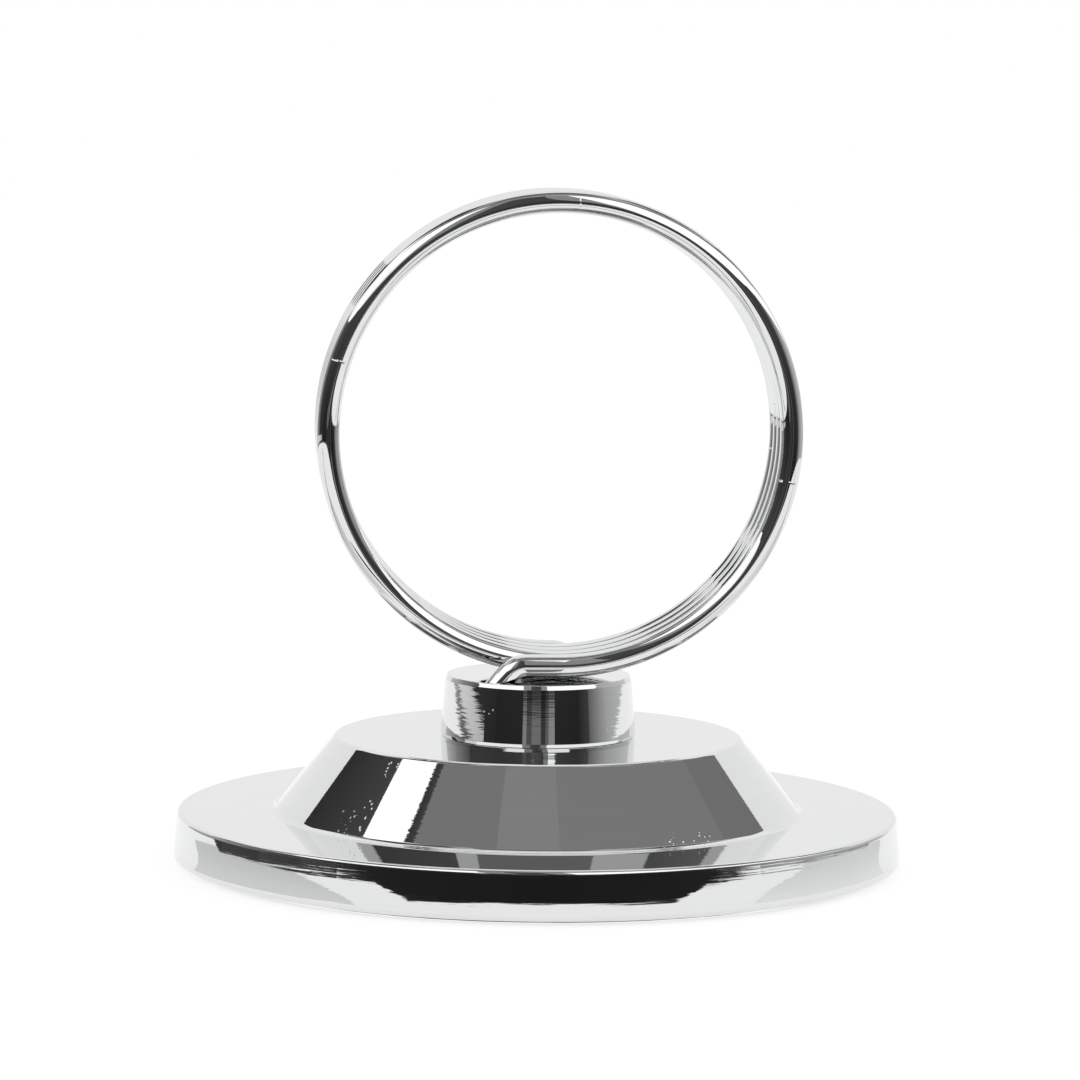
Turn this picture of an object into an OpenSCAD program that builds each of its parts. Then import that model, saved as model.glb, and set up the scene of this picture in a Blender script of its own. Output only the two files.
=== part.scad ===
// Place card holder: a weighted round base with a raised cone, a turned collar,
// and a clip ring of spring wire whose turns grip a card.
// Millimetres. +Z is up, the table is at z = 0, and the base's axis is the Z axis.
// The front is -Y, and the ring's bore runs along Y.

/* [Base shell] */
// Outer diameter of the base
base_d = 57; // [52:0.5:64]
// Height of the flange's flat top above the table
flange_z = 4.1; // [3.6:0.1:5]
// Diameter of the cone where it meets the flange
cone_foot_d = 41.4; // [37:0.2:44]
// Diameter of the cone's flat top
cone_top_d = 31.8; // [28:0.2:34]
// Height of the cone's flat top above the table
cone_top_z = 9.95; // [9:0.05:11.5]
// Thickness of the shell's sheet
shell_wall = 1.2; // [1:0.05:1.4]
// How far the rim leans in from its foot to its top
rim_lean = 0.3; // [0:0.05:0.5]
// Radius on the rim's top edge
rim_top_r = 0.35; // [0.2:0.05:0.6]
// Radius on the rim's bottom edge
rim_foot_r = 0.4; // [0.3:0.05:0.8]
// Radius in the corner between flange and cone
cone_foot_r = 0.7; // [0.3:0.05:1.2]
// Radius on the edge of the cone's flat top
cone_top_r = 0.5; // [0.3:0.05:1]

/* [Felt pad] */
// Thickness of the felt
pad_t = 1.2; // [1:0.05:1.5]
// How far the felt stands out below the rim
pad_proud = 0.35; // [0.2:0.05:0.5]
// Gap between the felt's edge and the rim's inside
pad_gap = 0.3; // [0.1:0.05:0.6]

/* [Ballast] */
// Gap between the ballast and the shell's inside
ballast_gap = 0.3; // [0.2:0.05:0.5]
// Room round the washers in the ballast's recess
recess_room = 0.6; // [0.3:0.1:1]

/* [Fixing screw] */
// Diameter of the screw's shank
screw_d = 4; // [3.6:0.1:4.4]
// Length of the shank under the head
screw_l = 8; // [7.4:0.1:8.6]
// Diameter of the head
head_d = 7.6; // [7:0.1:8.4]
// Height of the head
head_h = 2.4; // [2:0.1:2.6]
// Radius on the head's lower edge
head_edge_r = 0.8; // [0.4:0.1:1.2]
// Width of the driver slot
slot_w = 1.1; // [0.8:0.1:1.4]
// Depth of the driver slot
slot_depth = 1.1; // [0.8:0.1:1.4]
// Room between the head and the felt
head_room = 0.4; // [0.2:0.1:0.6]
// Gap all round the shank in the collar's thread
thread_gap = 0.05; // [0.03:0.01:0.08]
// Gap all round the shank in the washers and the ballast
shank_gap = 0.25; // [0.15:0.05:0.35]
// Room beyond the shank's tip in the collar
tip_room = 0.4; // [0.2:0.1:0.6]

/* [Washers] */
// Outer diameter of the flat washer
flat_d = 9; // [8.6:0.1:9.6]
// Thickness of the flat washer
flat_t = 0.8; // [0.6:0.05:1]
// Outer diameter of the lock washer
lock_d = 7.4; // [7:0.1:8]
// Thickness of the lock washer
lock_t = 1; // [0.8:0.05:1.1]
// Width of the lock washer's split
lock_split = 0.8; // [0.4:0.1:1.2]

/* [Collar] */
// Diameter of the collar at its foot
collar_d = 15.3; // [15:0.1:16.5]
// How much smaller the collar is at its top
collar_taper = 0.5; // [0:0.05:0.6]
// Height of the collar
collar_h = 4.8; // [4.6:0.1:5.6]
// Radius on the collar's top edge
collar_edge_r = 0.4; // [0.2:0.05:0.5]
// Radius on the collar's bottom edge
collar_foot_r = 0.45; // [0.1:0.05:0.5]
// Diameter of the spigot that centres the collar in the shell
spigot_d = 8; // [7.4:0.1:8.6]
// Gap all round the spigot
spigot_gap = 0.1; // [0.05:0.01:0.15]
// How much the spigot stops short of the shell's underside
spigot_relief = 0.2; // [0.1:0.05:0.4]

/* [Clip ring] */
// Diameter of the wire
wire_d = 1.8; // [1.6:0.05:1.9]
// Outer diameter of the ring
ring_od = 37.6; // [34:0.2:42]
// Turns in each half of the ring
half_turns = 2; // [1:1:2]
// Gap between neighbouring turns
turn_gap = 0.45; // [0.42:0.01:0.5]
// Gap between the ring and the collar's top
ring_rise = 0.3; // [0.25:0.05:0.5]
// How far the ring's centre lies to the right of the base's axis
ring_shift = 1.25; // [1:0.05:1.3]
// Straight run of wire between the ring and the front tail's bend
front_run = 2.55; // [2.3:0.05:2.8]
// Straight run of wire between the ring and the rear tail's bend
rear_run = 0.1; // [0:0.05:0.3]
// Radius of the bends, to the wire's centre
bend_r = 1.8; // [1.6:0.05:2]
// Slope of each tail below the level, in degrees
tail_slope = 48; // [45:1:60]
// Straight length of each tail below its bend
tail_l = 1.8; // [1.4:0.05:2]
// Gap all round each tail in its hole
tail_gap = 0.3; // [0.27:0.01:0.35]
// Gap where the ring's two halves meet end to end
seam_gap = 0.1; // [0.05:0.01:0.2]

/* [Hidden] */

$fn = 96;

// Overrun of every cut past the face it opens
cut_over = 0.5;

// Share of a rounding's radius between its centre and the sides it joins, under 1 so that it crosses them
round_share = 0.98;

chrome = [0.80, 0.81, 0.83];
iron = [0.27, 0.27, 0.28];
felt = [0.62, 0.62, 0.60];
zinc = [0.63, 0.64, 0.66];

// Shell: its inside is its outside moved in by the wall
base_r = base_d / 2;
cone_foot_x = cone_foot_d / 2;
cone_top_x = cone_top_d / 2;
cone_angle = atan2(cone_top_z - flange_z, cone_foot_x - cone_top_x);
wall_shift = shell_wall * tan(cone_angle / 2);
cone_under_z = cone_top_z - shell_wall;
flange_under_z = flange_z - shell_wall;
rim_inner_r = base_r - shell_wall;
spigot_hole_r = spigot_d / 2 + spigot_gap;

// Screw stack, from the felt up
head_z = pad_t + head_room;
lock_z = head_z + head_h;
flat_z = lock_z + lock_t;
recess_z = flat_z + flat_t;
tip_z = lock_z + screw_l;
shank_hole_r = screw_d / 2 + shank_gap;

// Collar
collar_top_z = cone_top_z + collar_h;
collar_foot_x = collar_d / 2;
collar_top_x = (collar_d - collar_taper) / 2;

// Ring: headings turn from the wire's run along +X, and the ring's lowest line is at heading 0
full_turn = 360;
upright = 90;
loop_rings = 24;
bend_rings = 6;
wire_sides = 6;
wire_r = wire_d / 2;
ring_r = ring_od / 2 - wire_r;
pitch = wire_d + turn_gap;
half_span = half_turns * pitch;
ring_foot_z = collar_top_z + ring_rise + wire_r;
ring_axis_z = ring_foot_z + ring_r;
front_bend_x = ring_shift - front_run;
rear_bend_x = ring_shift + rear_run;
bend_z = ring_foot_z - bend_r;

// A route is a list of [x, y, z, heading]
function turn_point(heading) = [
  ring_shift + ring_r * sin(heading),
  pitch * heading / full_turn,
  ring_axis_z - ring_r * cos(heading),
  heading
];

function bend_point(bend_x, y, heading) = [
  bend_x - bend_r * sin(heading),
  y,
  bend_z + bend_r * cos(heading),
  heading
];

// The point that lies straight on from another, against the wire's run where the length is negative
function straight_on(point, l) = [
  point[0] + l * cos(point[3]),
  point[1],
  point[2] + l * sin(point[3]),
  point[3]
];

front_turns = [for (i = [-half_turns * loop_rings : 0]) turn_point(full_turn * i / loop_rings)];
rear_turns = [for (i = [0 : half_turns * loop_rings]) turn_point(full_turn * i / loop_rings)];

front_tip = straight_on(bend_point(front_bend_x, -half_span, tail_slope), -tail_l);
rear_tip = straight_on(bend_point(rear_bend_x, half_span, -tail_slope), tail_l);

front_tail = [
  front_tip,
  for (i = [0 : bend_rings])
    bend_point(front_bend_x, -half_span, tail_slope * (1 - i / bend_rings))
];

rear_tail = [
  for (i = [0 : bend_rings])
    bend_point(rear_bend_x, half_span, -tail_slope * i / bend_rings),
  rear_tip
];

// The seam is taken half from each end, along X
function moved_x(point, by) = [point[0] + by, point[1], point[2], point[3]];
function but_last(route) = [for (i = [0 : len(route) - 2]) route[i]];
function but_first(route) = [for (i = [1 : len(route) - 1]) route[i]];

front_route = concat(
  front_tail,
  but_last(front_turns),
  [moved_x(front_turns[len(front_turns) - 1], -seam_gap / 2)]
);
rear_route = concat(
  [moved_x(rear_turns[0], seam_gap / 2)],
  but_first(rear_turns),
  rear_tail
);

// Least gap of the whole wire to itself, leaving out points less than half a turn apart along it
whole_route = concat(front_tail, front_turns, but_first(rear_turns), rear_tail);
function place(point) = [point[0], point[1], point[2]];
function gaps_from(i) =
  [for (j = [i + loop_rings / 2 : len(whole_route) - 1])
    norm(place(whole_route[i]) - place(whole_route[j])) - wire_d];
least_wire_gap = min([
  for (i = [0 : len(whole_route) - 1 - loop_rings / 2])
    min(gaps_from(i))
]);
echo(least_gap_of_the_ring_wire_to_itself = least_wire_gap);

// What lies outside a circle of radius r in the corner at p, for rounding it off or filling it in
module corner_piece(p, before, after, r) {
  u = (before - p) / norm(before - p);
  v = (after - p) / norm(after - p);
  middle = (u + v) / norm(u + v);
  half_angle = acos(u * v) / 2;
  back = round_share * r / sin(half_angle);
  depth = back * pow(cos(half_angle), 2);
  half_w = back * sin(half_angle) * cos(half_angle) + cut_over;
  translate(p)
    rotate(atan2(middle[1], middle[0]))
      difference() {
        translate([-cut_over, -half_w])
          square([depth + cut_over, 2 * half_w]);
        translate([back, 0])
          circle(r = r);
      }
}

// The wire along a route, as one unbroken tube of triangles
module wire(route) {
  rings = len(route);
  points = [
    for (step = route)
      for (k = [0 : wire_sides - 1])
        let (around = full_turn * k / wire_sides,
             out = wire_r * cos(around),
             side = wire_r * sin(around))
          [step[0] + out * sin(step[3]), step[1] + side, step[2] - out * cos(step[3])]
  ];
  sides = [
    for (i = [0 : rings - 2])
      for (k = [0 : wire_sides - 1])
        let (a = i * wire_sides + k,
             b = i * wire_sides + (k + 1) % wire_sides,
             c = a + wire_sides,
             d = b + wire_sides)
          each [[a, b, d], [a, d, c]]
  ];
  first_end = [for (k = [1 : wire_sides - 2]) [0, k + 1, k]];
  last = (rings - 1) * wire_sides;
  last_end = [for (k = [1 : wire_sides - 2]) [last, last + k, last + k + 1]];
  polyhedron(points = points, faces = concat(sides, first_end, last_end));
}

module shell_outline() {
  rim_foot = [base_r, pad_proud];
  rim_top = [base_r - rim_lean, flange_z];
  cone_foot = [cone_foot_x, flange_z];
  cone_top = [cone_top_x, cone_top_z];
  top_hole = [spigot_hole_r, cone_top_z];
  inner_foot = [rim_inner_r, pad_proud];
  difference() {
    union() {
      polygon([
        inner_foot,
        rim_foot,
        rim_top,
        cone_foot,
        cone_top,
        top_hole,
        [spigot_hole_r, cone_under_z],
        [cone_top_x - wall_shift, cone_under_z],
        [cone_foot_x - wall_shift, flange_under_z],
        [rim_inner_r, flange_under_z]
      ]);
      corner_piece(cone_foot, rim_top, cone_top, cone_foot_r);
    }
    corner_piece(rim_foot, inner_foot, rim_top, rim_foot_r);
    corner_piece(rim_top, rim_foot, cone_foot, rim_top_r);
    corner_piece(cone_top, cone_foot, top_hole, cone_top_r);
  }
}

module base_shell() {
  color(chrome)
    rotate_extrude()
      shell_outline();
}

module ballast_weight() {
  disc_x = rim_inner_r - ballast_gap;
  disc_top_z = flange_under_z - ballast_gap;
  recess_r = max(flat_d, head_d, lock_d) / 2 + recess_room;
  color(iron)
    rotate_extrude()
      polygon([
        [recess_r, pad_t],
        [disc_x, pad_t],
        [disc_x, disc_top_z],
        [cone_foot_x - wall_shift - ballast_gap, disc_top_z],
        [cone_top_x - wall_shift - ballast_gap, cone_under_z],
        [shank_hole_r, cone_under_z],
        [shank_hole_r, recess_z],
        [recess_r, recess_z]
      ]);
}

module felt_pad() {
  color(felt)
    cylinder(r = rim_inner_r - pad_gap, h = pad_t);
}

// A hole along a tail, drilled at the tail's own slope, from below its tip to above the collar
module tail_hole(tip, side) {
  hole_r = wire_r + tail_gap;
  hole_l = tail_gap + tail_l + hole_r / tan(tail_slope) + cut_over;
  translate(place(tip))
    rotate([0, -side * (upright - tail_slope), 0])
      translate([0, 0, -tail_gap])
        cylinder(r = hole_r, h = hole_l);
}

// Half section of the collar with its spigot below and its thread's bore up the middle
module collar_outline() {
  spigot_z = cone_under_z + spigot_relief;
  spigot_r = spigot_d / 2;
  thread_r = screw_d / 2 + thread_gap;
  thread_top_z = tip_z + tip_room;
  shoulder = [spigot_r, cone_top_z];
  foot = [collar_foot_x, cone_top_z];
  top = [collar_top_x, collar_top_z];
  centre = [0, collar_top_z];
  difference() {
    polygon([
      [thread_r, spigot_z],
      [spigot_r, spigot_z],
      shoulder,
      foot,
      top,
      centre,
      [0, thread_top_z],
      [thread_r, thread_top_z]
    ]);
    corner_piece(foot, shoulder, top, collar_foot_r);
    corner_piece(top, foot, centre, collar_edge_r);
  }
}

module neck_collar() {
  color(chrome)
    difference() {
      rotate_extrude()
        collar_outline();
      tail_hole(front_tip, -1);
      tail_hole(rear_tip, 1);
    }
}

// Half section of the screw, head down
module screw_outline() {
  shank_r = screw_d / 2;
  centre = [0, head_z];
  foot = [head_d / 2, head_z];
  seat = [head_d / 2, lock_z];
  difference() {
    polygon([centre, foot, seat, [shank_r, lock_z], [shank_r, tip_z], [0, tip_z]]);
    corner_piece(foot, centre, seat, head_edge_r);
  }
}

module fixing_screw() {
  color(zinc)
    difference() {
      rotate_extrude()
        screw_outline();
      translate([-head_d / 2 - cut_over, -slot_w / 2, head_z - cut_over])
        cube([head_d + 2 * cut_over, slot_w, slot_depth + cut_over]);
    }
}

module washer(outer_d, z, t) {
  translate([0, 0, z])
    difference() {
      cylinder(d = outer_d, h = t);
      translate([0, 0, -cut_over])
        cylinder(r = shank_hole_r, h = t + 2 * cut_over);
    }
}

module flat_washer() {
  color(zinc)
    washer(flat_d, flat_z, flat_t);
}

module lock_washer() {
  color(zinc)
    difference() {
      washer(lock_d, lock_z, lock_t);
      translate([0, -lock_split / 2, lock_z - cut_over])
        cube([lock_d / 2 + cut_over, lock_split, lock_t + 2 * cut_over]);
    }
}

module ring_front_half() {
  color(chrome)
    wire(front_route);
}

module ring_rear_half() {
  color(chrome)
    wire(rear_route);
}

base_shell();
ballast_weight();
felt_pad();
neck_collar();
fixing_screw();
flat_washer();
lock_washer();
ring_front_half();
ring_rear_half();
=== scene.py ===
# %% [markdown]
# # A place card holder in bright chrome
# The holder is a pressed base with a raised cone, a turned collar on the cone's flat top, and a clip
# ring wound from spring wire. The frame gives every piece at its real size and place. This lesson
# dresses it: each visible piece becomes a smooth surface worked out with numpy, because a mirror
# finish shows every facet, and each surface gets a finish built from shader nodes.

# %% Load the frame
import math

import bpy
import numpy as np
from mathutils import Matrix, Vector
from mathutils.geometry import delaunay_2d_cdt


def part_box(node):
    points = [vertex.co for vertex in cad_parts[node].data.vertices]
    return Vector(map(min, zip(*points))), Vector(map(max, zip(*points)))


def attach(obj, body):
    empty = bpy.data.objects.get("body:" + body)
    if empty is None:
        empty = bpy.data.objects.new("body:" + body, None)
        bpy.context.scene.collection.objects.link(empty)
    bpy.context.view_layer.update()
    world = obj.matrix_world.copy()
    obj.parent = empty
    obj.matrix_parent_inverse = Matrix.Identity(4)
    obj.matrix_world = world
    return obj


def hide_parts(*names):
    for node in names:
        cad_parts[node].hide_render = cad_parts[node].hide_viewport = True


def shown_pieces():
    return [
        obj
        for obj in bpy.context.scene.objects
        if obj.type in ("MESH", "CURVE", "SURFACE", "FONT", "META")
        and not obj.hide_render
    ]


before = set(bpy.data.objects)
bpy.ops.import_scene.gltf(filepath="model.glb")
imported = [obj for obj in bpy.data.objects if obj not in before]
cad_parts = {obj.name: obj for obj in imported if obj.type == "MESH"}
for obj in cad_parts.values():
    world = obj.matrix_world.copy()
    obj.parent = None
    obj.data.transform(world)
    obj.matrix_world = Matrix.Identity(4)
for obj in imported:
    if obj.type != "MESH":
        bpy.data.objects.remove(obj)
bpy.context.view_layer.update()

MM = 0.001

# %% [markdown]
# ## The camera
# The photograph was taken from a little above the base, from far enough away for the base's ellipses
# to be flat. The camera could be placed by eye. Here its height, tilt and lens were worked out
# from the ellipses' widths and heights, so the render lines up with the photograph.

# %% Camera
CAMERA_DISTANCE = 350 * MM
CAMERA_HEIGHT = 61.2 * MM
CAMERA_AZIMUTH = math.radians(-4.4)
CAMERA_TILT = math.radians(-5.86)
CAMERA_ROLL = math.radians(0.64)
CAMERA_LENS = 150.2
SENSOR_WIDTH = 36
NEAREST_SEEN = 10 * MM
FARTHEST_SEEN = 10

camera_data = bpy.data.cameras.new("camera")
camera_data.lens = CAMERA_LENS
camera_data.sensor_width = SENSOR_WIDTH
camera_data.clip_start = NEAREST_SEEN
camera_data.clip_end = FARTHEST_SEEN
camera = bpy.data.objects.new("camera", camera_data)
bpy.context.scene.collection.objects.link(camera)
camera.matrix_world = (
    Matrix.Rotation(CAMERA_AZIMUTH, 4, "Z")
    @ Matrix.Translation((0, -CAMERA_DISTANCE, CAMERA_HEIGHT))
    @ Matrix.Rotation(math.radians(90) + CAMERA_TILT, 4, "X")
    @ Matrix.Rotation(CAMERA_ROLL, 4, "Z")
)
bpy.context.scene.camera = camera
print("camera at", [round(v / MM, 1) for v in camera.location])

# %% [markdown]
# ## Outlines and lathes
# Everything round on this object was pressed, spun or turned, so its shape is an outline carried
# round an axis. A Spin or a Screw modifier could do that. A grid of points is used instead, because
# the formula also gives the exact normal at every point, and exact normals make clean reflections.


# %% Rounded outlines and grids
def unit(vectors):
    """Each vector divided by its own length."""
    return vectors / np.linalg.norm(vectors, axis=-1, keepdims=True)


def rounded_outline(corners, radii, steps=12):
    """Points and outward normals along an outline of straight sides and rounded corners.

    At each inner corner the circle that touches both sides has its centre on the bisector, at
    radius / sin(half the corner's angle). The arc runs from one touching point to the other, and
    its normals point away from the centre, or towards it where the outline turns the other way.
    The outline runs counter-clockwise in (r, z), and its two end corners are left as they are.
    """
    corners = np.asarray(corners, float)
    radii = np.asarray(radii, float)[:, None]
    here = corners[1:-1]
    back = unit(corners[:-2] - here)
    ahead = unit(corners[2:] - here)
    half = np.arccos(np.sum(back * ahead, axis=1, keepdims=True)) / 2
    centre = here + unit(back + ahead) * radii / np.sin(half)
    first = unit(here + back * radii / np.tan(half) - centre)[:, None]
    last = unit(here + ahead * radii / np.tan(half) - centre)[:, None]
    share = np.linspace(0, 1, steps + 1)[None, :, None]
    swept = (math.pi - 2 * half)[:, None]
    spoke = (first * np.sin((1 - share) * swept) + last * np.sin(share * swept)) / np.sin(swept)
    turn = np.sign(ahead[:, :1] * back[:, 1:] - ahead[:, 1:] * back[:, :1])[:, None]
    points = (centre[:, None] + spoke * radii[:, None]).reshape(-1, 2)
    normals = (spoke * turn).reshape(-1, 2)
    ends = corners[[0, -1]]
    return np.vstack([ends[:1], points, ends[1:]]), np.vstack([normals[:1], normals, normals[-1:]])


def lathe(outline, normals, segments):
    """Carries an outline round the Z axis: x = r cos a, y = r sin a, z = z, and the normals alike."""
    angle = np.linspace(0, 2 * math.pi, segments, endpoint=False)
    around = np.stack([np.cos(angle), np.sin(angle), np.ones(segments)], axis=1)

    def spun(flat):
        return (flat[:, [0, 0, 1]][:, None] * around[None]).reshape(-1, 3)

    return spun(outline), spun(normals)


def grid_faces(rows, columns, first=0, wrap_rows=False):
    """Quads of a grid whose columns close on themselves, numbered row by row from a first point."""
    i = np.arange(rows if wrap_rows else rows - 1)[:, None]
    j = np.arange(columns)[None, :]
    up, on = (i + 1) % rows, (j + 1) % columns
    corners = i * columns + j, i * columns + on, up * columns + on, up * columns + j
    return first + np.stack(np.broadcast_arrays(*corners), axis=-1).reshape(-1, 4)


def fan_faces(ring, pole):
    """Triangles that close a ring of points with one pole."""
    return np.stack([ring, np.roll(ring, -1), np.full(len(ring), pole)], axis=1)


def new_piece(name, points, faces, normals=None):
    """Makes a mesh object at the origin, shaded smooth, with the normals that the formula gives."""
    mesh = bpy.data.meshes.new(name)
    mesh.from_pydata(points.tolist(), [], [face for block in faces for face in block.tolist()])
    mesh.polygons.foreach_set("use_smooth", np.ones(len(mesh.polygons), bool))
    if normals is not None:
        mesh.normals_split_custom_set_from_vertices(unit(normals).tolist())
    piece = bpy.data.objects.new(name, mesh)
    bpy.context.scene.collection.objects.link(piece)
    print(f"{name}: {len(points)} points, {sum(map(len, faces))} faces")
    return piece


# %% [markdown]
# ## The base shell
# On the real object this is one disc of sheet metal, pressed into a flange, a cone and a flat top,
# with its rim turned down. Its outline runs out along the inside and back over the outside, one sheet
# thickness away, so the shell is hollow and its edges have the radius that a press leaves. The rim
# bulges a little and leans in towards its top, which decides how much floor it mirrors.

# %% Base shell
SEGMENTS = 384
shell_low, shell_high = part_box("base_shell")
BASE_R = shell_high.x
RIM_FOOT_Z = shell_low.z
CONE_TOP_Z = shell_high.z
FLANGE_Z = 4.1 * MM
CONE_FOOT_R = 20.7 * MM
CONE_TOP_R = 15.9 * MM
SHEET = 1.2 * MM
TOP_HOLE_R = 4.1 * MM
EDGE_ROUND = 0.1 * MM
INSIDE_ROUND = 0.5 * MM
RIM_FOOT_ROUND = 0.4 * MM
RIM_TOP_ROUND = 0.35 * MM
RIM_BULGE_Z = 1.86 * MM
RIM_BULGE_LEAN = 0.08 * MM
RIM_BULGE_ROUND = 45 * MM
RIM_TOP_LEAN = 0.3 * MM
CONE_FOOT_ROUND = 0.7 * MM
CONE_TOP_ROUND = 0.5 * MM
cone_slope = math.atan2(CONE_TOP_Z - FLANGE_Z, CONE_FOOT_R - CONE_TOP_R)
sheet_shift = SHEET * math.tan(cone_slope / 2)

shell_start = (TOP_HOLE_R, CONE_TOP_Z - SHEET / 2)
shell_outline = [
    (TOP_HOLE_R, CONE_TOP_Z - SHEET, EDGE_ROUND),
    (CONE_TOP_R - sheet_shift, CONE_TOP_Z - SHEET, INSIDE_ROUND),
    (CONE_FOOT_R - sheet_shift, FLANGE_Z - SHEET, INSIDE_ROUND),
    (BASE_R - SHEET, FLANGE_Z - SHEET, INSIDE_ROUND),
    (BASE_R - SHEET, RIM_FOOT_Z, EDGE_ROUND),
    (BASE_R, RIM_FOOT_Z, RIM_FOOT_ROUND),
    (BASE_R - RIM_BULGE_LEAN, RIM_BULGE_Z, RIM_BULGE_ROUND),
    (BASE_R - RIM_TOP_LEAN, FLANGE_Z, RIM_TOP_ROUND),
    (CONE_FOOT_R, FLANGE_Z, CONE_FOOT_ROUND),
    (CONE_TOP_R, CONE_TOP_Z, CONE_TOP_ROUND),
    (TOP_HOLE_R, CONE_TOP_Z, EDGE_ROUND),
]
shell_corners = [shell_start, *[corner[:2] for corner in shell_outline], shell_start]
outline, outline_normals = rounded_outline(shell_corners, [corner[2] for corner in shell_outline])
shell_points, shell_normals = lathe(outline[:-1], outline_normals[:-1], SEGMENTS)
base_shell = new_piece(
    "shell_pressing",
    shell_points,
    [grid_faces(len(outline) - 1, SEGMENTS, wrap_rows=True)],
    shell_normals,
)
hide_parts("base_shell")
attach(base_shell, "base")

# %% [markdown]
# ## The wire's sizes
# The clip ring is one length of spring wire wound into four turns, with a tail at each end that
# slopes down into the collar. The collar is drilled for the tails, so the wire's sizes come first.
# The ring's own box in the frame gives its radius and its place.

# %% Wire sizes
WIRE_R = 0.9 * MM
PITCH = 2.25 * MM
HALF_TURNS = 2
BEND_R = 1.8 * MM
TAIL_SLOPE = math.radians(48)
TAIL_LENGTH = 1.8 * MM
TAIL_GAP = 0.3 * MM
FRONT_RUN = 2.55 * MM
REAR_RUN = 0.1 * MM
ring_low, ring_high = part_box("ring_front_half")
RING_X = (ring_low.x + ring_high.x) / 2
RING_R = (ring_high.x - ring_low.x) / 2 - WIRE_R
RING_FOOT_Z = ring_high.z - WIRE_R - 2 * RING_R
HALF_SPAN = HALF_TURNS * PITCH
print(f"ring radius {RING_R / MM:.2f} mm, its foot {RING_FOOT_Z / MM:.2f} mm above the table")

# %% [markdown]
# ## The collar
# The collar is turned from bar, bored and threaded from below, and drilled twice from above at the
# slope of the wire's tails. Its outside is a lathe surface. The flat top with its two holes could be
# cut with a Boolean; it is filled here between the three curves instead, so the mirror top stays
# one clean plane.

# %% Collar's outside
collar_low, collar_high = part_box("neck_collar")
COLLAR_R = 7.65 * MM
COLLAR_TOP_Z = collar_high.z
SPIGOT_Z = collar_low.z
COLLAR_TAPER = 0.34 * MM
COLLAR_TOP_R = COLLAR_R - COLLAR_TAPER
SPIGOT_R = 4 * MM
BORE_R = 2.05 * MM
BORE_TOP_Z = 12.4 * MM
FOOT_BREAK = (0.1 * MM, 0.3 * MM)
TOP_BREAK = (0.15 * MM, 0.33 * MM)
BREAK_ROUND = 0.08 * MM

collar_corners = [
    (0, BORE_TOP_Z),
    (BORE_R, BORE_TOP_Z),
    (BORE_R, SPIGOT_Z),
    (SPIGOT_R, SPIGOT_Z),
    (SPIGOT_R, CONE_TOP_Z),
    (COLLAR_R - FOOT_BREAK[0], CONE_TOP_Z),
    (COLLAR_R, CONE_TOP_Z + FOOT_BREAK[1]),
    (COLLAR_TOP_R, COLLAR_TOP_Z - TOP_BREAK[1]),
    (COLLAR_TOP_R - TOP_BREAK[0], COLLAR_TOP_Z),
    (0, COLLAR_TOP_Z),
]
collar_rounds = [EDGE_ROUND] * 4 + [BREAK_ROUND] * 4
outline, outline_normals = rounded_outline(collar_corners, collar_rounds)
side_points, side_normals = lathe(outline[1:-1], outline_normals[1:-1], SEGMENTS)
side_rows = len(outline) - 2
print("collar outline", len(outline), "points")

# %% Tail holes
HOLE_R = WIRE_R + TAIL_GAP
HOLE_SEGMENTS = 64
MOUTH_STEPS = 6
MOUTH_ROUND = 0.06 * MM
bend_drop = BEND_R * (1 - math.cos(TAIL_SLOPE))
tail_above = RING_FOOT_Z - bend_drop - COLLAR_TOP_Z
mouth_reach = BEND_R * math.sin(TAIL_SLOPE) + tail_above / math.tan(TAIL_SLOPE)
HOLE_DEPTH = TAIL_LENGTH + TAIL_GAP - tail_above / math.sin(TAIL_SLOPE)
MOUTHS = np.array(
    [
        (RING_X - FRONT_RUN - mouth_reach, -HALF_SPAN),
        (RING_X + REAR_RUN + mouth_reach, HALF_SPAN),
    ]
)


def slanted_hole(mouth, side):
    """Points and normals of a slanted hole, in rings from its rounded mouth to its floor, and a pole.

    A point on the wall lies r cos a across the slope and r sin a along Y from the drill's line. The
    level top cuts the wall where r cos a has grown to r cos a / sin(slope). At the mouth the radius
    and the height follow a quarter circle, and the floor's ring lies square to the drill.
    """
    slope_sin, slope_cos = math.sin(TAIL_SLOPE), math.cos(TAIL_SLOPE)
    angle = np.linspace(0, 2 * math.pi, HOLE_SEGMENTS, endpoint=False)
    turn = np.linspace(0, math.pi / 2, MOUTH_STEPS + 1)[:, None, None]
    drill = np.array([-side * slope_cos, 0, slope_sin])
    across, along_y = np.cos(angle), np.sin(angle)
    out = np.stack([across * slope_sin, along_y, side * across * slope_cos], axis=1)
    level = np.stack([across / slope_sin, along_y, 0 * angle], axis=1)
    radius = HOLE_R + MOUTH_ROUND * (1 - np.sin(turn))
    sink = MOUTH_ROUND * (1 - np.cos(turn))
    mouth_rings = level * radius - drill * sink / slope_sin
    floor_ring = out * HOLE_R - drill * HOLE_DEPTH
    pole = -drill * HOLE_DEPTH
    points = np.vstack([mouth_rings.reshape(-1, 3), floor_ring, pole]) + (*mouth, COLLAR_TOP_Z)
    mouth_normals = np.cos(turn) * np.array([0, 0, 1]) - np.sin(turn) * out
    return points, np.vstack([mouth_normals.reshape(-1, 3), -out, drill])


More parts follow.
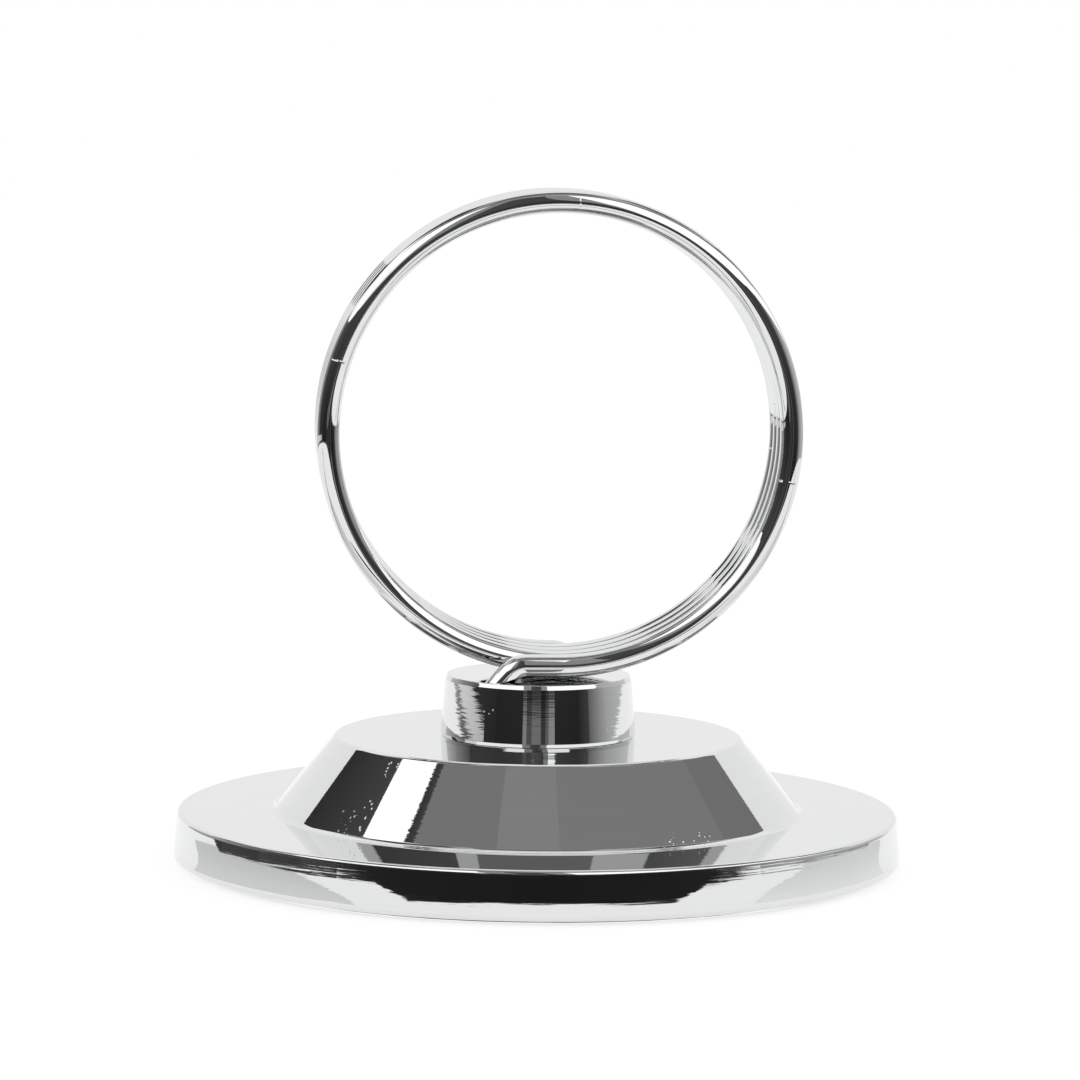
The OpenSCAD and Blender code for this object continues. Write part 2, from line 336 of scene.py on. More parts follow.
points = [side_points, [(0, 0, BORE_TOP_Z)]]
normals = [side_normals, [(0, 0, -1)]]
faces = [
    grid_faces(side_rows, SEGMENTS),
    fan_faces(np.arange(SEGMENTS), len(side_points))[:, ::-1],
]
top_rings = [np.arange(SEGMENTS) + (side_rows - 1) * SEGMENTS]
hole_rows = MOUTH_STEPS + 2
count = len(side_points) + 1
for mouth, side in zip(MOUTHS, (-1, 1)):
    hole_points, hole_normals = slanted_hole(mouth, side)
    points.append(hole_points)
    normals.append(hole_normals)
    last_ring = np.arange(HOLE_SEGMENTS) + count + (hole_rows - 1) * HOLE_SEGMENTS
    faces += [
        grid_faces(hole_rows, HOLE_SEGMENTS, first=count),
        fan_faces(last_ring, count + len(hole_points) - 1),
    ]
    top_rings.append(np.arange(HOLE_SEGMENTS) + count)
    count += len(hole_points)
points = np.vstack(points)
normals = np.vstack(normals)
print("mouths of the tail holes in mm:", np.round(MOUTHS / MM, 2).tolist())


# %% Collar's top
# The mode that fills the whole disc, and the distance in metres at which two points count as one
FILL_WHOLE = 0
MERGE_WITHIN = 1e-9


def flat_fill(points, rings, holes, hole_size):
    """Triangles between an outer ring and the rings of its holes, all in one level plane.

    A Delaunay triangulation covers the whole disc. The triangles whose middle lies inside a hole,
    an ellipse of the given half sizes, are left out.
    """
    index = np.concatenate(rings)
    ring_ends = np.cumsum([len(ring) for ring in rings])
    in_order = np.split(np.arange(len(index)), ring_ends[:-1])
    edges = np.vstack([np.stack([ring, np.roll(ring, -1)], axis=1) for ring in in_order])
    flat = points[index][:, :2]
    filled = delaunay_2d_cdt(flat.tolist(), edges.tolist(), [], FILL_WHOLE, MERGE_WITHIN)
    triangles = np.array(filled[2])
    middle = flat[triangles].mean(axis=1)
    inside = np.linalg.norm((middle[:, None] - holes[None]) / hole_size, axis=2) < 1
    return index[triangles[~inside.any(axis=1)]]


mouth_r = HOLE_R + MOUTH_ROUND
faces.append(flat_fill(points, top_rings, MOUTHS, (mouth_r / math.sin(TAIL_SLOPE), mouth_r)))
collar = new_piece("turned_collar", points, faces, normals)
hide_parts("neck_collar")
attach(collar, "base")

# %% [markdown]
# ## The clip ring
# A bevelled curve could follow the wire. A tube on a grid is used, because each half of the ring has
# to end exactly where the other begins, and because the tube can keep a record of where each point
# lay on the straight wire, which the drawing lines of its finish follow.

# %% Wire route
TURN_STEPS = 320
BEND_STEPS = 16
RUN_STEPS = 4
TAIL_STEPS = 4
SEAM = 0.02 * MM


def half_route(run):
    """Half of the wire, from tail to seam: up the slope, round a bend, straight along, and two turns.

    A turn is x = r sin h, z = -r cos h about the ring's centre, and y grows by one pitch each turn. The
    bend is the same with its own radius, other way up, and the tail is straight.
    """
    bend_x = RING_X - run
    bend = np.linspace(TAIL_SLOPE, 0, BEND_STEPS + 1)
    turn = np.linspace(-2 * math.pi * HALF_TURNS, 0, HALF_TURNS * TURN_STEPS + 1)
    bent = np.stack(
        [
            bend_x - BEND_R * np.sin(bend),
            np.full_like(bend, -HALF_SPAN),
            RING_FOOT_Z - BEND_R * (1 - np.cos(bend)),
        ],
        axis=1,
    )
    back = np.linspace(-TAIL_LENGTH, 0, TAIL_STEPS + 1)[:-1, None]
    tail = bent[:1] + back * np.array([math.cos(TAIL_SLOPE), 0, math.sin(TAIL_SLOPE)])
    turns = np.stack(
        [
            RING_X + RING_R * np.sin(turn),
            PITCH * turn / (2 * math.pi),
            RING_FOOT_Z + RING_R * (1 - np.cos(turn)),
        ],
        axis=1,
    )
    share = np.linspace(0, 1, RUN_STEPS + 1)[1:-1, None]
    straight = bent[-1:] + share * (turns[:1] - bent[-1:])
    turns[-1, 0] -= SEAM / 2
    heading = np.concatenate([np.full(len(tail), TAIL_SLOPE), bend, np.zeros(len(straight)), turn])
    return np.vstack([tail, bent, straight, turns]), heading


def turned_about(route, heading):
    """The same route turned half a turn about the ring's upright middle line, and run the other way."""
    return route[::-1] * (-1, -1, 1) + (2 * RING_X, 0, 0), -heading[::-1]


# %% Wire tubes
SIDES = 64
END_ROUND = 0.1 * MM
END_STEPS = 5


def wire_tube(name, route, heading):
    """A round tube along a route, with rounded ends.

    Each ring of points lies square to the route: one axis points out of the ring's circle, the other
    along Y. At an end the rings shrink on a quarter circle, and a pole closes the flat that is left.
    """
    along = unit(np.gradient(route, axis=0))
    outward = np.stack([np.sin(heading), np.zeros_like(heading), -np.cos(heading)], axis=1)
    outward = unit(outward - np.sum(outward * along, axis=1, keepdims=True) * along)
    across = np.cross(along, outward)
    lean = np.linspace(math.pi / 2, 0, END_STEPS + 1)[:-1]
    middle = np.zeros(len(route))
    rows = np.concatenate([[0] * END_STEPS, np.arange(len(route)), [len(route) - 1] * END_STEPS])
    tilt = np.concatenate([-lean, middle, lean[::-1]])
    inset = np.concatenate([np.full(END_STEPS, END_ROUND), middle, np.full(END_STEPS, -END_ROUND)])
    centre = route[rows] + along[rows] * (inset + END_ROUND * np.sin(tilt))[:, None]
    radius = WIRE_R - END_ROUND * (1 - np.cos(tilt))
    angle = np.linspace(0, 2 * math.pi, SIDES, endpoint=False)[None, :, None]
    spoke = outward[rows][:, None] * np.cos(angle) + across[rows][:, None] * np.sin(angle)
    points = (centre[:, None] + spoke * radius[:, None, None]).reshape(-1, 3)
    normals = spoke * np.cos(tilt)[:, None, None] + along[rows][:, None] * np.sin(tilt)[:, None, None]
    count = len(rows)
    faces = [
        grid_faces(count, SIDES),
        fan_faces(np.arange(SIDES), count * SIDES)[:, ::-1],
        fan_faces(np.arange(SIDES) + (count - 1) * SIDES, count * SIDES + 1),
    ]
    piece = new_piece(
        name,
        np.vstack([points, route[:1], route[-1:]]),
        faces,
        np.vstack([normals.reshape(-1, 3), -along[:1], along[-1:]]),
    )
    walked = np.concatenate([[0], np.cumsum(np.linalg.norm(np.diff(route, axis=0), axis=1))])
    straight = np.empty((count, SIDES, 3))
    straight[..., 0] = WIRE_R * np.cos(angle[..., 0])
    straight[..., 1] = WIRE_R * np.sin(angle[..., 0])
    straight[..., 2] = walked[rows][:, None]
    straight = np.vstack([straight.reshape(-1, 3), [(0, 0, 0), (0, 0, walked[-1])]])
    place = piece.data.attributes.new("straight_wire", "FLOAT_VECTOR", "POINT")
    place.data.foreach_set("vector", straight.astype(np.float32).ravel())
    print(f"{name}: {walked[-1] / MM:.1f} mm of wire")
    return piece


for name, node, body, route in (
    ("clip_ring_front", "ring_front_half", "front_half", half_route(FRONT_RUN)),
    ("clip_ring_rear", "ring_rear_half", "rear_half", turned_about(*half_route(REAR_RUN))),
):
    wire = wire_tube(name, *route)
    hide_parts(node)
    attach(wire, body)

# %% [markdown]
# ## The felt pad
# A disc of pale felt is glued under the base. It hides the ballast and the screw and lets the holder
# slide without scratching. It is cut with a knife, so its edge is a little uneven: the disc's
# radius is given a small seeded waviness.

# %% Felt pad
FELT_SEGMENTS = 240
FELT_EDGE_ROUND = 0.35 * MM
FELT_EDGE_STEPS = 8
FELT_WAVE = 0.06 * MM
FELT_WAVE_COUNTS = (7, 16, 29, 53, 71)
FELT_WAVE_SEED = 4
felt_low, felt_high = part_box("felt_pad")
FELT_R = felt_high.x
FELT_T = felt_high.z - felt_low.z


def soft_waves(angle, counts, seed):
    """A sum of sines round the circle, one for each count of waves, with seeded phases, from -1 to 1."""
    phases = np.random.default_rng(seed).uniform(0, 2 * math.pi, len(counts))
    waves = np.sin(angle[:, None] * np.array(counts)[None] + phases[None])
    return waves.sum(axis=1) / len(counts)


felt_corners = [(0, 0), (FELT_R, 0), (FELT_R, FELT_T), (0, FELT_T)]
felt_rounds = [FELT_EDGE_ROUND, FELT_EDGE_ROUND]
outline, outline_normals = rounded_outline(felt_corners, felt_rounds, FELT_EDGE_STEPS)
felt_points = lathe(outline[1:-1], outline_normals[1:-1], FELT_SEGMENTS)[0]
felt_rows = len(outline) - 2
around = np.linspace(0, 2 * math.pi, FELT_SEGMENTS, endpoint=False)
wave = soft_waves(around, FELT_WAVE_COUNTS, FELT_WAVE_SEED)
shrink = 1 - FELT_WAVE / FELT_R * (1 + wave)
felt_points = felt_points.reshape(felt_rows, FELT_SEGMENTS, 3)
felt_points[..., :2] *= shrink[None, :, None]
felt_points = np.vstack([felt_points.reshape(-1, 3), [(0, 0, 0), (0, 0, FELT_T)]])
first_ring = np.arange(FELT_SEGMENTS)
last_ring = first_ring + (felt_rows - 1) * FELT_SEGMENTS
felt_pole = felt_rows * FELT_SEGMENTS
felt_faces = [
    grid_faces(felt_rows, FELT_SEGMENTS),
    fan_faces(first_ring, felt_pole)[:, ::-1],
    fan_faces(last_ring, felt_pole + 1),
]
felt = new_piece("felt_disc", felt_points, felt_faces)
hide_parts("felt_pad")
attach(felt, "base")

# %% [markdown]
# ## Building finishes from nodes
# A finish is a small graph of shader nodes. Adding each node by hand takes many lines, so short
# helpers do it: one adds a node and fills its inputs, the others do sums, ranges and blends.

# %% Node helpers
# The numbers of the Mix node's two colour inputs and of its colour output
FIRST_COLOUR = 6
SECOND_COLOUR = 7
BLENDED_COLOUR = 2
NOISE_RANGE = (0.3, 0.7)


def fill(tree, sockets, inputs):
    """Fills sockets by name or number: another node's output is linked, and a constant is set."""
    for name, value in inputs.items():
        if isinstance(value, bpy.types.NodeSocket):
            tree.links.new(value, sockets[name])
        else:
            sockets[name].default_value = value


def add(tree, kind, inputs=None, **options):
    """Adds a shader node, sets its options and fills its inputs."""
    made = tree.nodes.new(kind)
    for name, value in options.items():
        setattr(made, name, value)
    fill(tree, made.inputs, inputs or {})
    return made


def calc(tree, operation, a, b=0.0):
    """One sum of two numbers, such as MULTIPLY or ADD."""
    return add(tree, "ShaderNodeMath", {0: a, 1: b}, operation=operation).outputs[0]


def spread(tree, value, low, high, to_low=0, to_high=1):
    """Carries the range low to high onto another range, and holds it there beyond both ends."""
    inputs = {"Value": value, "From Min": low, "From Max": high, "To Min": to_low, "To Max": to_high}
    return add(tree, "ShaderNodeMapRange", inputs).outputs["Result"]


def own_place(tree):
    """Each point's place in the piece's own frame, in metres."""
    return add(tree, "ShaderNodeTexCoord").outputs["Object"]


def scaled(tree, vector, sizes):
    """A vector divided by three sizes, so that a noise of scale 1 has features of those sizes."""
    inputs = {0: vector, 1: sizes}
    return add(tree, "ShaderNodeVectorMath", inputs, operation="DIVIDE").outputs[0]


def noise(tree, vector, scale=1.0, detail=2.0):
    """Plain noise of a vector. Most of it lies in NOISE_RANGE."""
    inputs = {"Vector": vector, "Scale": scale, "Detail": detail}
    return add(tree, "ShaderNodeTexNoise", inputs).outputs[0]


def bumped(tree, height, distance, under=None):
    """A bump of the given height in metres, on top of another one."""
    inputs = {"Height": height, "Distance": distance}
    if under is not None:
        inputs["Normal"] = under
    return add(tree, "ShaderNodeBump", inputs).outputs[0]


def blend_colour(tree, share, first, second):
    """A colour between two others, each of them three numbers or another node's output."""
    ends = [end if isinstance(end, bpy.types.NodeSocket) else (*end, 1) for end in (first, second)]
    inputs = {"Factor": share, FIRST_COLOUR: ends[0], SECOND_COLOUR: ends[1]}
    return add(tree, "ShaderNodeMix", inputs, data_type="RGBA").outputs[BLENDED_COLOUR]


def new_finish(name):
    """An empty material, its node tree and its Principled shader's inputs."""
    finish = bpy.data.materials.new(name)
    finish.use_nodes = True
    return finish, finish.node_tree, finish.node_tree.nodes["Principled BSDF"].inputs


# %% [markdown]
# ## Chrome on the turned and pressed pieces
# Chrome plate is a mirror, so nearly all of its look is what it reflects. What gives it away as metal
# is the polishing under the plate: fine lines that run round the axis and tear the edge of every
# reflection. The lines are noise in four dimensions. Radius and height vary fast, so they cross the
# lines, and x and y vary slowly, so each line runs a few millimetres before it fades. Where the
# polish missed, small pits lie in groups.

# %% Lines round the axis
LINE_CRISPNESS = 0.55


def lines_round_axis(tree, spacing, run, detail, seed):
    """Noise of (radius / spacing, height / spacing, x / run, y / run): lines drawn out round Z."""
    place = own_place(tree)
    flat = add(tree, "ShaderNodeVectorMath", {0: place, 1: (1, 1, 0)}, operation="MULTIPLY").outputs[0]
    radius = add(tree, "ShaderNodeVectorMath", {0: flat}, operation="LENGTH").outputs["Value"]
    part = add(tree, "ShaderNodeSeparateXYZ", {0: place}).outputs
    crossing = {
        0: calc(tree, "DIVIDE", radius, spacing),
        1: calc(tree, "DIVIDE", part["Z"], spacing),
        2: calc(tree, "DIVIDE", part["X"], run),
    }
    across = add(tree, "ShaderNodeCombineXYZ", crossing).outputs[0]
    along = calc(tree, "ADD", calc(tree, "DIVIDE", part["Y"], run), seed)
    inputs = {"Vector": across, "W": along, "Scale": 1.0, "Detail": detail, "Roughness": LINE_CRISPNESS}
    return add(tree, "ShaderNodeTexNoise", inputs, noise_dimensions="4D").outputs[0]


# %% Pits
PIT_SIZE = 0.4 * MM
PIT_DOT = (0.12, 0.26)
PIT_CROWD = 0.9
PIT_DEPTH = 5e-6
PIT_ROUGHNESS = 0.4


def pits(tree, groups):
    """Small dots, 1 at their middle, in groups (x, y, z, reach): Voronoi cells, fewer at a group's edge."""
    place = own_place(tree)
    cells = add(tree, "ShaderNodeTexVoronoi", {"Vector": place, "Scale": 1 / PIT_SIZE}).outputs
    dot = spread(tree, cells["Distance"], *PIT_DOT, 1, 0)
    chance = add(tree, "ShaderNodeSeparateColor", {0: cells["Color"]}).outputs[0]
    crowd = 0.0
    for *middle, reach in groups:
        away = add(tree, "ShaderNodeVectorMath", {0: place, 1: middle}, operation="DISTANCE")
        near = spread(tree, away.outputs["Value"], 0, reach, PIT_CROWD, 0)
        crowd = calc(tree, "MAXIMUM", crowd, near)
    return calc(tree, "MULTIPLY", dot, calc(tree, "LESS_THAN", chance, crowd))


# %% Polished chrome
CHROME_TINT = (0.765, 0.77, 0.775)
LINE_RANGE = (0.35, 0.75)
GLOSS_RANGE = (0.012, 0.05)
POLISHED_DIM = 0.975
COARSE_DETAIL = 2.0
FINE_DETAIL = 3.0
FINE_SEED_STEP = 7


def chrome(tree, shader, dim, clouds, lines, marks, mark_roughness, normal):
    """Plate whose tint is dimmer where the clouds are low, and rougher on its lines and its marks."""
    dull = tuple(dim * part for part in CHROME_TINT)
    worn = spread(tree, lines, *LINE_RANGE, *GLOSS_RANGE)
    inputs = {
        "Metallic": 1,
        "Base Color": blend_colour(tree, spread(tree, clouds, *NOISE_RANGE), dull, CHROME_TINT),
        "Roughness": calc(tree, "MAXIMUM", worn, calc(tree, "MULTIPLY", marks, mark_roughness)),
        "Normal": normal,
    }
    fill(tree, shader, inputs)


def polished_chrome(name, coarse, fine, groups, seed):
    """Chrome over polishing lines; coarse and fine give (spacing, run, height) of two sizes of line."""
    finish, tree, shader = new_finish(name)
    coarse_lines = lines_round_axis(tree, *coarse[:2], COARSE_DETAIL, seed)
    fine_lines = lines_round_axis(tree, *fine[:2], FINE_DETAIL, seed + FINE_SEED_STEP)
    dots = pits(tree, groups)
    normal = bumped(tree, coarse_lines, coarse[2])
    normal = bumped(tree, fine_lines, fine[2], normal)
    normal = bumped(tree, dots, -PIT_DEPTH, normal)
    chrome(tree, shader, POLISHED_DIM, coarse_lines, fine_lines, dots, PIT_ROUGHNESS, normal)
    return finish


# %% Shell's and collar's chrome
COARSE_HEIGHT = 2.4e-6
FINE_HEIGHT = 0.6e-6
SHELL_PITS = np.array(
    [
        (-15.4, -13.3, 4.8, 2.6),
        (-12.1, -11.2, 9.2, 1.5),
        (-13.2, -13.0, 6.6, 1.0),
        (11.3, -17.0, 4.5, 1.4),
        (8.9, -18.4, 4.4, 1.4),
        (14.0, 12.6, 5.6, 2.2),
        (-6.2, 18.4, 5.2, 1.8),
        (-24.0, 3.0, 4.1, 1.6),
        (25.5, 7.0, 4.1, 1.4),
    ]
) * MM
COLLAR_PITS = np.array([(-4.6, -6.0, 12.6, 0.9), (5.2, -5.5, 11.6, 0.8), (1.0, 7.5, 12.8, 1.4)]) * MM
shell_chrome = polished_chrome(
    "shell_chrome",
    coarse=(0.34 * MM, 9 * MM, COARSE_HEIGHT),
    fine=(0.16 * MM, 4 * MM, FINE_HEIGHT),
    groups=SHELL_PITS,
    seed=1,
)
collar_chrome = polished_chrome(
    "collar_chrome",
    coarse=(0.3 * MM, 6 * MM, COARSE_HEIGHT),
    fine=(0.12 * MM, 5 * MM, FINE_HEIGHT),
    groups=COLLAR_PITS,
    seed=2,
)
print("finishes:", shell_chrome.name, collar_chrome.name)

# %% [markdown]
# ## Chrome on the wire
# Wire is drawn through a die, so its fine lines run along it, round every turn of the ring. The tubes
# carry the place of each point on the straight wire, and the noise reads that. A few short nicks
# cross the wire, where the winding tool or another turn has caught it.

# %% Nicks
NICKS = np.array([30.4, 60.8, 84.6, 139.0, 171.0]) * MM
NICK_WIDTH = 0.09 * MM
NICK_DEPTH = 14e-6
NICK_ROUGHNESS = 0.3
NICK_STRETCH = (0.8 * MM, 0.8 * MM, 6 * MM)
NICK_BREAK = (0.45, 0.55)


def nicks(tree, place):
    """Thin bands across the wire at the listed lengths, broken by noise so that none goes all round."""
    length = add(tree, "ShaderNodeSeparateXYZ", {0: place}).outputs["Z"]
    bands = 0.0
    for nick in NICKS:
        away = calc(tree, "ABSOLUTE", calc(tree, "SUBTRACT", length, nick))
        bands = calc(tree, "MAXIMUM", bands, spread(tree, away, 0, NICK_WIDTH, 1, 0))
    broken = noise(tree, scaled(tree, place, NICK_STRETCH), detail=0.0)
    return calc(tree, "MULTIPLY", bands, spread(tree, broken, *NICK_BREAK))


# %% Drawn wire
DRAWN_LINE = (0.2 * MM, 0.2 * MM, 9 * MM)
DRAWN_LINE_HEIGHT = 0.7e-6
RIPPLE = (1.6 * MM, 1.6 * MM, 4 * MM)
RIPPLE_HEIGHT = 10e-6
DRAWN_DIM = 0.96


def drawn_chrome(name):
    """Chrome over drawing lines, noise that is fine round the wire and long along it, and cross nicks."""
    finish, tree, shader = new_finish(name)
    place = add(tree, "ShaderNodeAttribute", attribute_name="straight_wire").outputs["Vector"]
    lines = noise(tree, scaled(tree, place, DRAWN_LINE))
    ripple = noise(tree, scaled(tree, place, RIPPLE), detail=1.0)
    marks = nicks(tree, place)
    normal = bumped(tree, ripple, RIPPLE_HEIGHT)
    normal = bumped(tree, lines, DRAWN_LINE_HEIGHT, normal)
    normal = bumped(tree, marks, -NICK_DEPTH, normal)
    chrome(tree, shader, DRAWN_DIM, ripple, lines, marks, NICK_ROUGHNESS, normal)
    return finish


wire_chrome = drawn_chrome("wire_chrome")
print("finish:", wire_chrome.name)

# %% [markdown]
# ## Felt, iron and zinc
# Felt is pressed fibre: noise stretched three ways gives short fibres, lighter on top of dark. It
# shows only from below. The ballast is iron as it came from the sand mould, and the screw and
# washers are zinc plated. The felt hides them until the holder is taken apart.

# %% Felt
FIBRE = (0.12 * MM, 1.5 * MM, 0.3 * MM)
FIBRE_TURNS = (0.2, 1.25, 2.3)
FIBRE_DIP = 0.1
FUZZ_SCALE = 420.0
FUZZ_DETAIL = 3.0
FELT_RANGE = (0.9, 1.4)
FELT_DARK = (0.36, 0.36, 0.35)
FELT_PALE = (0.66, 0.66, 0.64)
FELT_NAP = 0.15 * MM


def pressed_felt(name):
    """Short fibres lying all ways: the highest of three noises, each stretched its own way."""
    finish, tree, shader = new_finish(name)
    place = own_place(tree)
    fibres = 0.0
    for turn in FIBRE_TURNS:
        inputs = {"Vector": place, "Rotation": (FIBRE_DIP, FIBRE_DIP, turn), "Scale": FIBRE}
        laid = add(tree, "ShaderNodeMapping", inputs, vector_type="TEXTURE").outputs[0]
        fibres = calc(tree, "MAXIMUM", fibres, noise(tree, laid))
    height = calc(tree, "ADD", fibres, noise(tree, place, FUZZ_SCALE, FUZZ_DETAIL))
    inputs = {
        "Base Color": blend_colour(tree, spread(tree, height, *FELT_RANGE), FELT_DARK, FELT_PALE),
        "Roughness": 0.95,
        "Sheen Weight": 0.35,
        "Sheen Roughness": 0.5,
        "Normal": bumped(tree, height, FELT_NAP),
    }
    fill(tree, shader, inputs)
    return finish


# %% Iron
IRON_DARK = (0.09, 0.09, 0.095)
IRON_PALE = (0.24, 0.24, 0.25)
IRON_GLOSS_RANGE = (0.75, 0.5)
GRAIN_SCALE = 1800.0
GRAIN_DETAIL = 4.0
GRAIN_HEIGHT = 0.12 * MM
HOLLOW_RANGE = (0.6, 0.4)
RUST = (0.19, 0.09, 0.04)
RUST_SCALE = 160.0
RUST_DETAIL = 3.0
RUST_RANGE = (0.58, 0.75)
RUST_MOST = 0.5


def sand_cast_iron(name):
    """Grey iron with the grain of a sand mould, and faint rust in its hollows."""
    finish, tree, shader = new_finish(name)
    place = own_place(tree)
    grain = noise(tree, place, GRAIN_SCALE, GRAIN_DETAIL)
    patch = noise(tree, place, RUST_SCALE, RUST_DETAIL)
    iron = blend_colour(tree, spread(tree, grain, *NOISE_RANGE), IRON_DARK, IRON_PALE)
    hollow = spread(tree, grain, *HOLLOW_RANGE)
    rust = calc(tree, "MULTIPLY", spread(tree, patch, *RUST_RANGE, 0, RUST_MOST), hollow)
    inputs = {
        "Metallic": 0.6,
        "Base Color": blend_colour(tree, rust, iron, RUST),
        "Roughness": spread(tree, grain, *NOISE_RANGE, *IRON_GLOSS_RANGE),
        "Normal": bumped(tree, grain, GRAIN_HEIGHT),
    }
    fill(tree, shader, inputs)
    return finish


# %% Zinc
ZINC_DARK = (0.5, 0.51, 0.53)
ZINC_PALE = (0.68, 0.69, 0.7)
ZINC_RANGE = (0.35, 0.65)
ZINC_GLOSS_RANGE = (0.28, 0.42)
CLOUD_SCALE = 700.0
CLOUD_DETAIL = 3.0
MACHINED_LINE = (0.18 * MM, 3 * MM)
MACHINED_HEIGHT = 5e-6


def zinc_plate(name):
    """Bright zinc over machining lines, a little clouded."""
    finish, tree, shader = new_finish(name)
    lines = lines_round_axis(tree, *MACHINED_LINE, FINE_DETAIL, seed=5)
    cloud = noise(tree, own_place(tree), CLOUD_SCALE, CLOUD_DETAIL)
    inputs = {
        "Metallic": 1,
        "Base Color": blend_colour(tree, spread(tree, cloud, *ZINC_RANGE), ZINC_DARK, ZINC_PALE),
        "Roughness": spread(tree, cloud, *NOISE_RANGE, *ZINC_GLOSS_RANGE),
        "Normal": bumped(tree, lines, MACHINED_HEIGHT),
    }
    fill(tree, shader, inputs)
    return finish


# %% Finishes put on
pad_felt = pressed_felt("pad_felt")
ballast_iron = sand_cast_iron("ballast_iron")
fastener_zinc = zinc_plate("fastener_zinc")
finish_of = {
    "shell_pressing": shell_chrome,
    "turned_collar": collar_chrome,
    "clip_ring_front": wire_chrome,
    "clip_ring_rear": wire_chrome,
    "felt_disc": pad_felt,
    "ballast_weight": ballast_iron,
    "fixing_screw": fastener_zinc,
    "flat_washer": fastener_zinc,
    "lock_washer": fastener_zinc,
}
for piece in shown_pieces():
    piece.data.materials.clear()
    piece.data.materials.append(finish_of[piece.name])
    print(piece.name, "has", finish_of[piece.name].name)

# %% [markdown]
# ## The studio
# A mirror needs something to reflect. The world is a white room. The floor is a pale ring that takes
# the shadow. It could be a plain sheet, but the felt should be seen from below too, so the ring is
# open under the felt and its underside is clear.

# %% White room
ROOM_LIGHT = 0.8


def seen_rays(tree):
    """1 for rays that show the room itself: from the camera, by reflection, or through glass."""
    path = add(tree, "ShaderNodeLightPath").outputs
    seen = calc(tree, "MAXIMUM", path["Is Camera Ray"], path["Is Glossy Ray"])
    return calc(tree, "MAXIMUM", seen, path["Is Transmission Ray"])


def white_world():
    """White where the room shows, and a plain level of light for everything else."""
    world = bpy.data.worlds.new("white_room")
    bpy.context.scene.world = world
    world.use_nodes = True
    tree = world.node_tree
    strength = spread(tree, seen_rays(tree), 0, 1, ROOM_LIGHT, 1.0)
    fill(tree, tree.nodes["Background"].inputs, {"Color": (1, 1, 1, 1), "Strength": strength})


white_world()
bpy.context.scene.view_settings.view_transform = "Standard"
print("world:", bpy.context.scene.world.name)

# %% Floor
FLOOR_R = 1.5
FLOOR_HOLE_R = 26.8 * MM
FLOOR_DROP = 0.02 * MM
FLOOR_SEGMENTS = 256
FLOOR_GLOW = 0.72
FLOOR_TONE = (0.4, 0.4, 0.4, 1)


def studio_paint(name):
    """A material with no shader yet, its node tree, and the input that its surface goes into."""
    paint = bpy.data.materials.new(name)
    paint.use_nodes = True
    tree = paint.node_tree
    tree.nodes.remove(tree.nodes["Principled BSDF"])
    return paint, tree, tree.nodes["Material Output"].inputs["Surface"]


def pale_paint():
    """White where the room shows, but for the share left to take the shadow, and clear from below."""
    paint, tree, surface = studio_paint("pale_floor")
    strength = calc(tree, "MULTIPLY", seen_rays(tree), FLOOR_GLOW)
    glow = add(tree, "ShaderNodeEmission", {"Strength": strength})
    matt = add(tree, "ShaderNodeBsdfDiffuse", {"Color": FLOOR_TONE})
    both = add(tree, "ShaderNodeAddShader", {0: glow.outputs[0], 1: matt.outputs[0]})
    underside = add(tree, "ShaderNodeNewGeometry").outputs["Backfacing"]
    clear = add(tree, "ShaderNodeBsdfTransparent")
    sides = add(tree, "ShaderNodeMixShader", {0: underside, 1: both.outputs[0], 2: clear.outputs[0]})
    tree.links.new(sides.outputs[0], surface)
    return paint


floor_outline = np.array([(FLOOR_R, -FLOOR_DROP), (FLOOR_HOLE_R, -FLOOR_DROP)])
floor_normals = np.array([(0, 1), (0, 1)])
floor_points, floor_normals = lathe(floor_outline, floor_normals, FLOOR_SEGMENTS)
floor = new_piece("floor", floor_points, [grid_faces(len(floor_outline), FLOOR_SEGMENTS)], floor_normals)
floor.data.materials.append(pale_paint())

# %% [markdown]
# ## The reflection cards
# Product photographers stand black, grey and white cards round chrome, because the cards draw the
# bands that show its shape. Flat planes could be placed by eye. Here a card is a patch of a sphere, of
# the floor or of a round wall, so that its edges lie at known bearings and heights. The cards are
# seen only in reflections: they neither shade the object nor stand in the way of the camera.

# %% Hanging a card
CARD_GLOW = 1.08
CARD_COLUMNS = 41
CARD_ROWS = 13
ACROSS = np.linspace(0, 1, CARD_COLUMNS)[None, :]
UP = np.linspace(0, 1, CARD_ROWS)[:, None]


def card_paint():
    """Glows with the shade that each point of a card carries."""
    paint, tree, surface = studio_paint("card_paint")
    shade = add(tree, "ShaderNodeAttribute", attribute_name="shade").outputs["Fac"]
    glow = add(tree, "ShaderNodeEmission", {"Strength": calc(tree, "MULTIPLY", shade, CARD_GLOW)})
    tree.links.new(glow.outputs[0], surface)
    return paint


CARD_PAINT = card_paint()


def between(ends, share):
    """The value at a share of the way from the first end to the second."""
    return ends[0] + (ends[1] - ends[0]) * share


def hang_card(name, x, y, z, shade):
    """Grids of places and shades as a card that only reflections see."""
    x, y, z, shade = np.broadcast_arrays(x, y, z, shade)
    rows, columns = shade.shape
    index = np.arange(rows * columns).reshape(rows, columns)
    corners = [index[:-1, :-1], index[:-1, 1:], index[1:, 1:], index[1:, :-1]]
    points = np.stack([x, y, z], axis=-1).reshape(-1, 3)
    card = new_piece(name, points, [np.stack(corners, axis=-1).reshape(-1, 4)])
    card.data.attributes.new("shade", "FLOAT", "POINT").data.foreach_set("value", shade.ravel())
    card.data.materials.append(CARD_PAINT)
    card.visible_camera = False
    card.visible_diffuse = False
    card.visible_shadow = False
    card.visible_transmission = False


